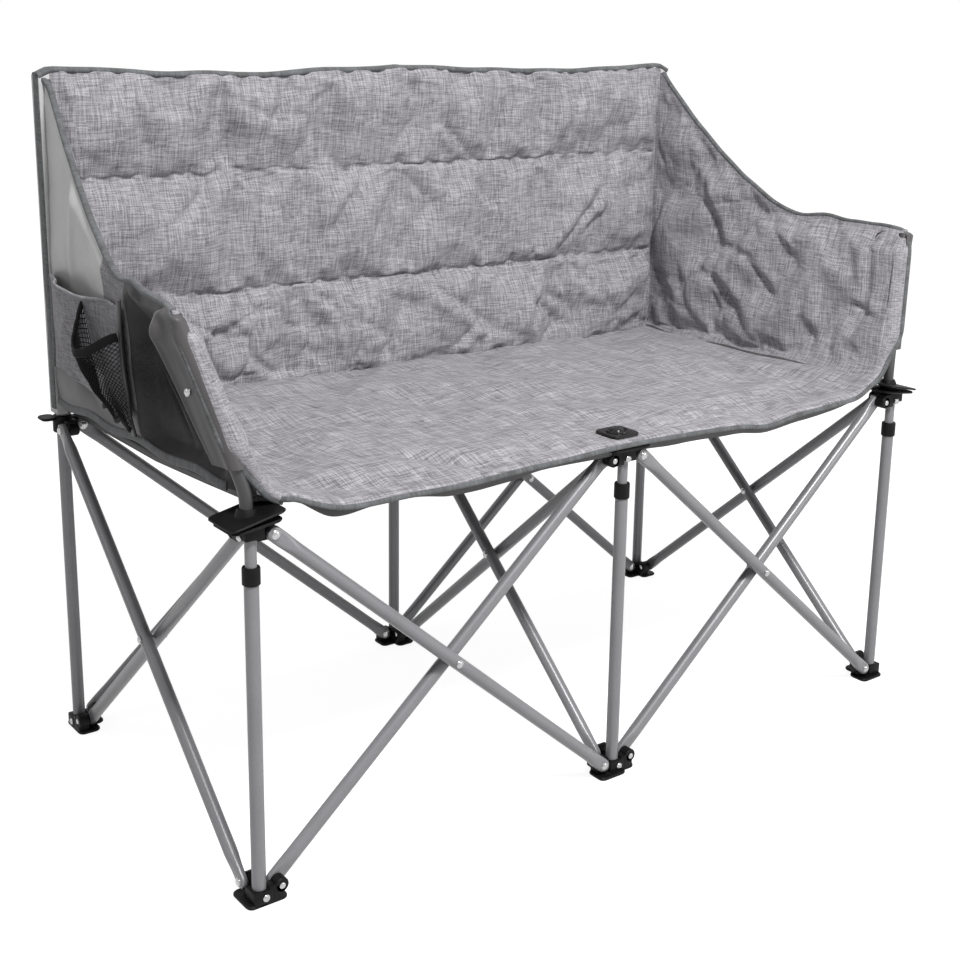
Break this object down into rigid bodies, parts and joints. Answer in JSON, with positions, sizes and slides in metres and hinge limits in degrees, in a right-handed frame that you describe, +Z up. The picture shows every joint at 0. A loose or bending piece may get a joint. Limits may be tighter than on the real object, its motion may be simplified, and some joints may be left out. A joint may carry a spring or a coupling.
{
  "type": "folding camping loveseat",
  "caption": "Wide folding camping seat: tubular legs joined by crossed bars under a padded seat, back and flared arms, with a pocket and a mesh cup holder on one arm.",
  "frame": {"origin": "on the floor under the middle of the frame", "axes": "+X to the right of a person sitting in it seen from the front, +Y to the back, +Z up"},
  "size_m": [1.2986, 0.618, 0.985],
  "materials": {
    "silver_tube": "satin silver-grey paint on steel tube",
    "zinc_rivet": "bright zinc plate",
    "black_plastic": "moulded satin black",
    "arm_tube": "dark grey paint",
    "melange_cloth": "grey linen-look polyester, quilted",
    "black_mesh": "open black mesh"
  },
  "bodies": {
    "upright_rear_center": {"foot_rear_center": "black_plastic", "post_rear_center": "silver_tube", "post_cap_rear_center": "black_plastic", "back_pad": "melange_cloth"},
    "upright_front_left": {"foot_front_left": "black_plastic", "leg_tube_front_left": "silver_tube", "leg_collar_front_left": "black_plastic"},
    "upright_front_center": {"foot_front_center": "black_plastic", "leg_tube_front_center": "silver_tube", "leg_collar_front_center": "black_plastic"},
    "upright_front_right": {"foot_front_right": "black_plastic", "leg_tube_front_right": "silver_tube", "leg_collar_front_right": "black_plastic"},
    "upright_rear_left": {"foot_rear_left": "black_plastic", "post_rear_left": "silver_tube", "post_cap_rear_left": "black_plastic", "arm_pad_left": "melange_cloth", "side_pocket": "melange_cloth", "cup_holder": "black_mesh"},
    "upright_rear_right": {"foot_rear_right": "black_plastic", "post_rear_right": "silver_tube", "post_cap_rear_right": "black_plastic", "arm_pad_right": "melange_cloth"},
    "head_front_left": {"hub_front_left": "black_plastic", "inner_tube_front_left": "silver_tube", "arm_post_left": "arm_tube"},
    "head_front_center": {"hub_front_center": "black_plastic", "inner_tube_front_center": "silver_tube", "seat_button_plate": "black_plastic"},
    "head_front_right": {"hub_front_right": "black_plastic", "inner_tube_front_right": "silver_tube", "arm_post_right": "arm_tube"},
    "head_rear_left": {"slider_rear_left": "black_plastic"},
    "head_rear_center": {"slider_rear_center": "black_plastic"},
    "head_rear_right": {"slider_rear_right": "black_plastic"},
    "seat_front": {"seat_front_pad": "melange_cloth"},
    "seat_rear": {"seat_rear_pad": "melange_cloth"},
    "bar_rear_center_to_front_center": {"cross_bar_rear_center_to_front_center": "silver_tube", "cross_rivet_front_center_to_rear_center": "zinc_rivet"},
    "bar_front_center_to_rear_center": {"cross_bar_front_center_to_rear_center": "silver_tube"},
    "bar_rear_center_to_rear_left": {"cross_bar_rear_center_to_rear_left": "silver_tube", "cross_rivet_rear_left_to_rear_center": "zinc_rivet"},
    "bar_rear_left_to_rear_center": {"cross_bar_rear_left_to_rear_center": "silver_tube"},
    "bar_rear_center_to_rear_right": {"cross_bar_rear_center_to_rear_right": "silver_tube", "cross_rivet_rear_center_to_rear_right": "zinc_rivet"},
    "bar_rear_right_to_rear_center": {"cross_bar_rear_right_to_rear_center": "silver_tube"},
    "bar_rear_left_to_front_left": {"cross_bar_rear_left_to_front_left": "silver_tube", "cross_rivet_front_left_to_rear_left": "zinc_rivet"},
    "bar_front_left_to_rear_left": {"cross_bar_front_left_to_rear_left": "silver_tube"},
    "bar_rear_right_to_front_right": {"cross_bar_rear_right_to_front_right": "silver_tube", "cross_rivet_front_right_to_rear_right": "zinc_rivet"},
    "bar_front_right_to_rear_right": {"cross_bar_front_right_to_rear_right": "silver_tube"},
    "bar_front_center_to_front_left": {"cross_bar_front_center_to_front_left": "silver_tube", "cross_rivet_front_left_to_front_center": "zinc_rivet"},
    "bar_front_left_to_front_center": {"cross_bar_front_left_to_front_center": "silver_tube"},
    "bar_front_center_to_front_right": {"cross_bar_front_center_to_front_right": "silver_tube", "cross_rivet_front_center_to_front_right": "zinc_rivet"},
    "bar_front_right_to_front_center": {"cross_bar_front_right_to_front_center": "silver_tube"}
  },
  "joints": [
    {"name": "fold", "type": "hinge", "parent": "upright_rear_center", "child": "bar_rear_center_to_front_center", "pos_m": [0.0095, 0.2617, 0.02], "axis": [-1, 0, 0], "range_deg": [0, 46.8], "deforming": ["back_pad", "seat_front_pad", "seat_rear_pad", "arm_pad_left", "arm_pad_right", "side_pocket", "cup_holder"]},
    {"name": "bar_front_center_to_rear_center_turn", "type": "hinge", "parent": "bar_rear_center_to_front_center", "child": "bar_front_center_to_rear_center", "pos_m": [0, 0, 0.248], "axis": [1, 0, 0], "range_deg": [-0.5, 94.1]},
    {"name": "upright_front_center_turn", "type": "hinge", "parent": "bar_front_center_to_rear_center", "child": "upright_front_center", "pos_m": [-0.0095, -0.2617, 0.02], "axis": [-1, 0, 0], "range_deg": [-0.5, 47.3]},
    {"name": "head_front_center_turn", "type": "hinge", "parent": "bar_rear_center_to_front_center", "child": "head_front_center", "pos_m": [0.0095, -0.2617, 0.476], "axis": [1, 0, 0], "range_deg": [-0.5, 47.3]},
    {"name": "head_rear_center_turn", "type": "hinge", "parent": "bar_front_center_to_rear_center", "child": "head_rear_center", "pos_m": [-0.0095, 0.2617, 0.476], "axis": [-1, 0, 0], "range_deg": [-0.5, 47.3]},
    {"name": "bar_rear_center_to_rear_left_turn", "type": "hinge", "parent": "upright_rear_center", "child": "bar_rear_center_to_rear_left", "pos_m": [-0.0258, 0.278, 0.02], "axis": [0, 1, 0], "range_deg": [-0.5, 47.3]},
    {"name": "bar_rear_left_to_rear_center_turn", "type": "hinge", "parent": "bar_rear_center_to_rear_left", "child": "bar_rear_left_to_rear_center", "pos_m": [-0.2875, 0.2875, 0.248], "axis": [0, -1, 0], "range_deg": [-0.5, 94.1]},
    {"name": "upright_rear_left_turn", "type": "hinge", "parent": "bar_rear_left_to_rear_center", "child": "upright_rear_left", "pos_m": [-0.5492, 0.297, 0.02], "axis": [0, 1, 0], "range_deg": [-0.5, 47.3]},
    {"name": "head_rear_left_turn", "type": "hinge", "parent": "bar_rear_center_to_rear_left", "child": "head_rear_left", "pos_m": [-0.5492, 0.278, 0.476], "axis": [0, -1, 0], "range_deg": [-0.5, 47.3]},
    {"name": "bar_rear_center_to_rear_right_turn", "type": "hinge", "parent": "upright_rear_center", "child": "bar_rear_center_to_rear_right", "pos_m": [0.0258, 0.297, 0.02], "axis": [0, -1, 0], "range_deg": [-0.5, 47.3]},
    {"name": "bar_rear_right_to_rear_center_turn", "type": "hinge", "parent": "bar_rear_center_to_rear_right", "child": "bar_rear_right_to_rear_center", "pos_m": [0.2875, 0.2875, 0.248], "axis": [0, 1, 0], "range_deg": [-0.5, 94.1]},
    {"name": "upright_rear_right_turn", "type": "hinge", "parent": "bar_rear_right_to_rear_center", "child": "upright_rear_right", "pos_m": [0.5492, 0.278, 0.02], "axis": [0, -1, 0], "range_deg": [-0.5, 47.3]},
    {"name": "head_rear_right_turn", "type": "hinge", "parent": "bar_rear_center_to_rear_right", "child": "head_rear_right", "pos_m": [0.5492, 0.297, 0.476], "axis": [0, 1, 0], "range_deg": [-0.5, 47.3]},
    {"name": "bar_rear_left_to_front_left_turn", "type": "hinge", "parent": "upright_rear_left", "child": "bar_rear_left_to_front_left", "pos_m": [-0.5655, 0.2617, 0.02], "axis": [-1, 0, 0], "range_deg": [-0.5, 47.3]},
    {"name": "bar_front_left_to_rear_left_turn", "type": "hinge", "parent": "bar_rear_left_to_front_left", "child": "bar_front_left_to_rear_left", "pos_m": [-0.575, 0, 0.248], "axis": [1, 0, 0], "range_deg": [-0.5, 94.1]},
    {"name": "upright_front_left_turn", "type": "hinge", "parent": "bar_front_left_to_rear_left", "child": "upright_front_left", "pos_m": [-0.5845, -0.2617, 0.02], "axis": [-1, 0, 0], "range_deg": [-0.5, 47.3]},
    {"name": "head_front_left_turn", "type": "hinge", "parent": "bar_rear_left_to_front_left", "child": "head_front_left", "pos_m": [-0.5655, -0.2617, 0.476], "axis": [1, 0, 0], "range_deg": [-0.5, 47.3]},
    {"name": "bar_rear_right_to_front_right_turn", "type": "hinge", "parent": "upright_rear_right", "child": "bar_rear_right_to_front_right", "pos_m": [0.5845, 0.2617, 0.02], "axis": [-1, 0, 0], "range_deg": [-0.5, 47.3]},
    {"name": "bar_front_right_to_rear_right_turn", "type": "hinge", "parent": "bar_rear_right_to_front_right", "child": "bar_front_right_to_rear_right", "pos_m": [0.575, 0, 0.248], "axis": [1, 0, 0], "range_deg": [-0.5, 94.1]},
    {"name": "upright_front_right_turn", "type": "hinge", "parent": "bar_front_right_to_rear_right", "child": "upright_front_right", "pos_m": [0.5655, -0.2617, 0.02], "axis": [-1, 0, 0], "range_deg": [-0.5, 47.3]},
    {"name": "head_front_right_turn", "type": "hinge", "parent": "bar_rear_right_to_front_right", "child": "head_front_right", "pos_m": [0.5845, -0.2617, 0.476], "axis": [1, 0, 0], "range_deg": [-0.5, 47.3]},
    {"name": "bar_front_center_to_front_left_turn", "type": "hinge", "parent": "upright_front_center", "child": "bar_front_center_to_front_left", "pos_m": [-0.0258, -0.297, 0.02], "axis": [0, 1, 0], "range_deg": [-0.5, 47.3]},
    {"name": "bar_front_left_to_front_center_turn", "type": "hinge", "parent": "bar_front_center_to_front_left", "child": "bar_front_left_to_front_center", "pos_m": [-0.2875, -0.2875, 0.248], "axis": [0, -1, 0], "range_deg": [-0.5, 94.1]},
    {"name": "bar_front_center_to_front_right_turn", "type": "hinge", "parent": "upright_front_center", "child": "bar_front_center_to_front_right", "pos_m": [0.0258, -0.278, 0.02], "axis": [0, -1, 0], "range_deg": [-0.5, 47.3]},
    {"name": "bar_front_right_to_front_center_turn", "type": "hinge", "parent": "bar_front_center_to_front_right", "child": "bar_front_right_to_front_center", "pos_m": [0.2875, -0.2875, 0.248], "axis": [0, 1, 0], "range_deg": [-0.5, 94.1]},
    {"name": "seat_front_turn", "type": "hinge", "parent": "head_front_center", "child": "seat_front", "pos_m": [0, -0.2875, 0.4934], "axis": [1, 0, 0], "range_deg": [-0.5, 82.76]},
    {"name": "seat_rear_turn", "type": "hinge", "parent": "head_rear_center", "child": "seat_rear", "pos_m": [0, 0.2875, 0.4934], "axis": [-1, 0, 0], "range_deg": [-0.5, 82.76]}
  ],
  "couplings": [
    {"joint": "bar_front_center_to_rear_center_turn", "follows": "fold", "ratio": 2},
    {"joint": "upright_front_center_turn", "follows": "fold", "ratio": 1},
    {"joint": "head_front_center_turn", "follows": "fold", "ratio": 1},
    {"joint": "head_rear_center_turn", "follows": "fold", "ratio": 1},
    {"joint": "bar_rear_center_to_rear_left_turn", "follows": "fold", "ratio": 1},
    {"joint": "bar_rear_left_to_rear_center_turn", "follows": "fold", "ratio": 2},
    {"joint": "upright_rear_left_turn", "follows": "fold", "ratio": 1},
    {"joint": "head_rear_left_turn", "follows": "fold", "ratio": 1},
    {"joint": "bar_rear_center_to_rear_right_turn", "follows": "fold", "ratio": 1},
    {"joint": "bar_rear_right_to_rear_center_turn", "follows": "fold", "ratio": 2},
    {"joint": "upright_rear_right_turn", "follows": "fold", "ratio": 1},
    {"joint": "head_rear_right_turn", "follows": "fold", "ratio": 1},
    {"joint": "bar_rear_left_to_front_left_turn", "follows": "fold", "ratio": 1},
    {"joint": "bar_front_left_to_rear_left_turn", "follows": "fold", "ratio": 2},
    {"joint": "upright_front_left_turn", "follows": "fold", "ratio": 1},
    {"joint": "head_front_left_turn", "follows": "fold", "ratio": 1},
    {"joint": "bar_rear_right_to_front_right_turn", "follows": "fold", "ratio": 1},
    {"joint": "bar_front_right_to_rear_right_turn", "follows": "fold", "ratio": 2},
    {"joint": "upright_front_right_turn", "follows": "fold", "ratio": 1},
    {"joint": "head_front_right_turn", "follows": "fold", "ratio": 1},
    {"joint": "bar_front_center_to_front_left_turn", "follows": "fold", "ratio": 1},
    {"joint": "bar_front_left_to_front_center_turn", "follows": "fold", "ratio": 2},
    {"joint": "bar_front_center_to_front_right_turn", "follows": "fold", "ratio": 1},
    {"joint": "bar_front_right_to_front_center_turn", "follows": "fold", "ratio": 2},
    {"joint": "seat_front_turn", "follows": "fold", "ratio": 1.7576},
    {"joint": "seat_rear_turn", "follows": "fold", "ratio": 1.7576}
  ]
}
